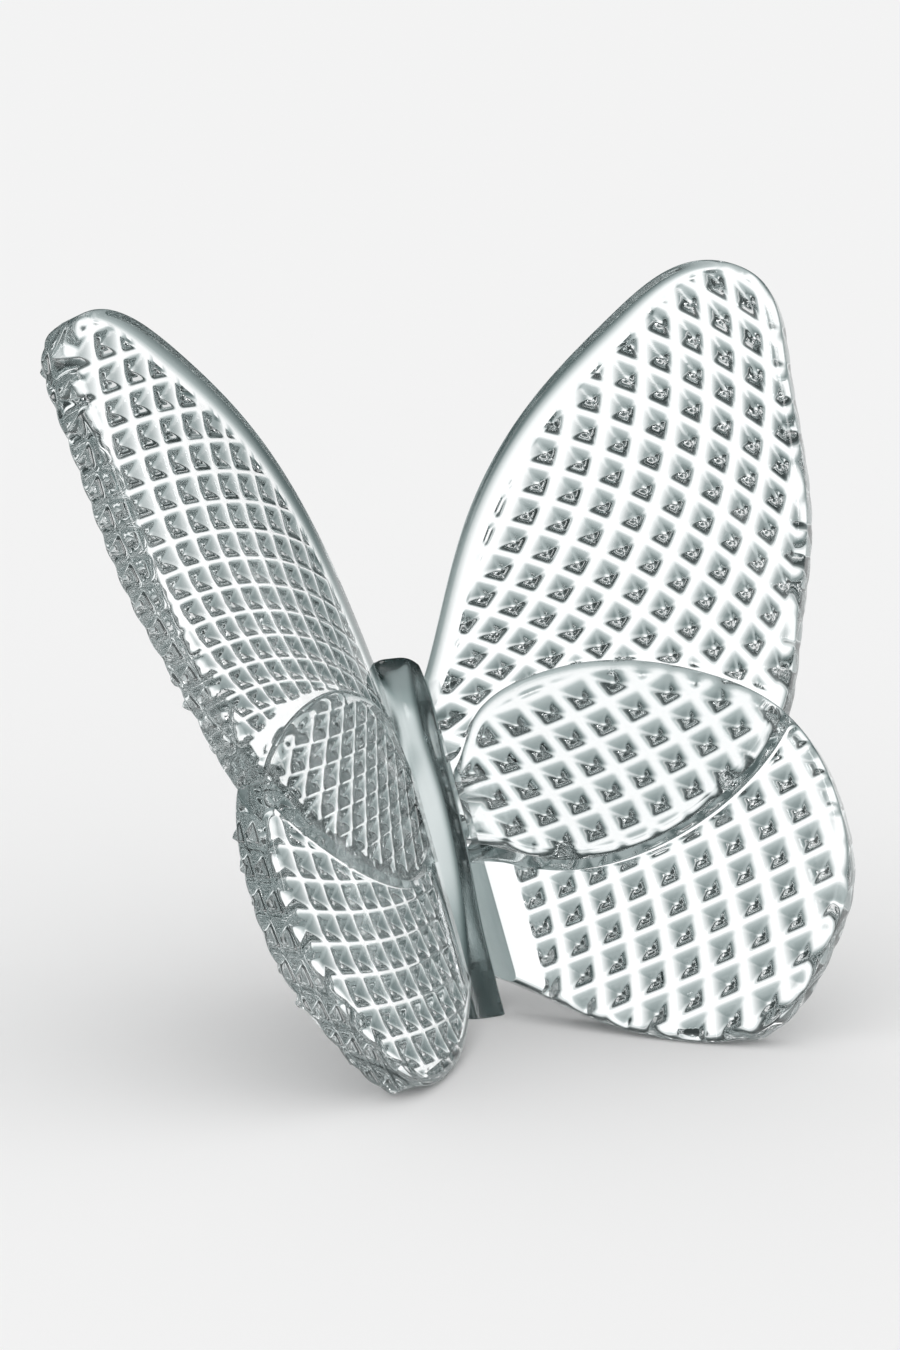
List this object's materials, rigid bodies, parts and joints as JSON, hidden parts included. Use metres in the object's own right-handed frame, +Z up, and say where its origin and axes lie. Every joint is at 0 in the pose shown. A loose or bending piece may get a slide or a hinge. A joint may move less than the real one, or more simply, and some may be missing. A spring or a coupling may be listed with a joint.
{
  "type": "butterfly ornament",
  "caption": "Clear crystal butterfly with raised bent wings, pyramid relief behind and smooth faces in front; stands free on its tail and lower wings as a shelf ornament.",
  "frame": {"origin": "on the table, under the middle of the ornament's outer box", "axes": "+X from the left wings to the right wings as the viewer sees them, +Y away from the viewer, +Z up"},
  "size_m": [0.0732, 0.041, 0.064],
  "materials": {
    "crystal_body": "polished clear crystal, faintly grey-green in depth",
    "crystal_wing": "polished clear crystal with moulded pyramids, faintly grey-green in depth",
    "clear_adhesive": "cured clear adhesive film"
  },
  "bodies": {
    "root": {"body": "crystal_body", "right_forewing": "crystal_wing", "left_forewing": "crystal_wing", "right_hindwing": "crystal_wing", "left_hindwing": "crystal_wing", "right_forewing_bond": "clear_adhesive", "right_hindwing_bond": "clear_adhesive", "right_lap_bond": "clear_adhesive", "left_forewing_bond": "clear_adhesive", "left_hindwing_bond": "clear_adhesive", "left_lap_bond": "clear_adhesive"}
  },
  "joints": []
}
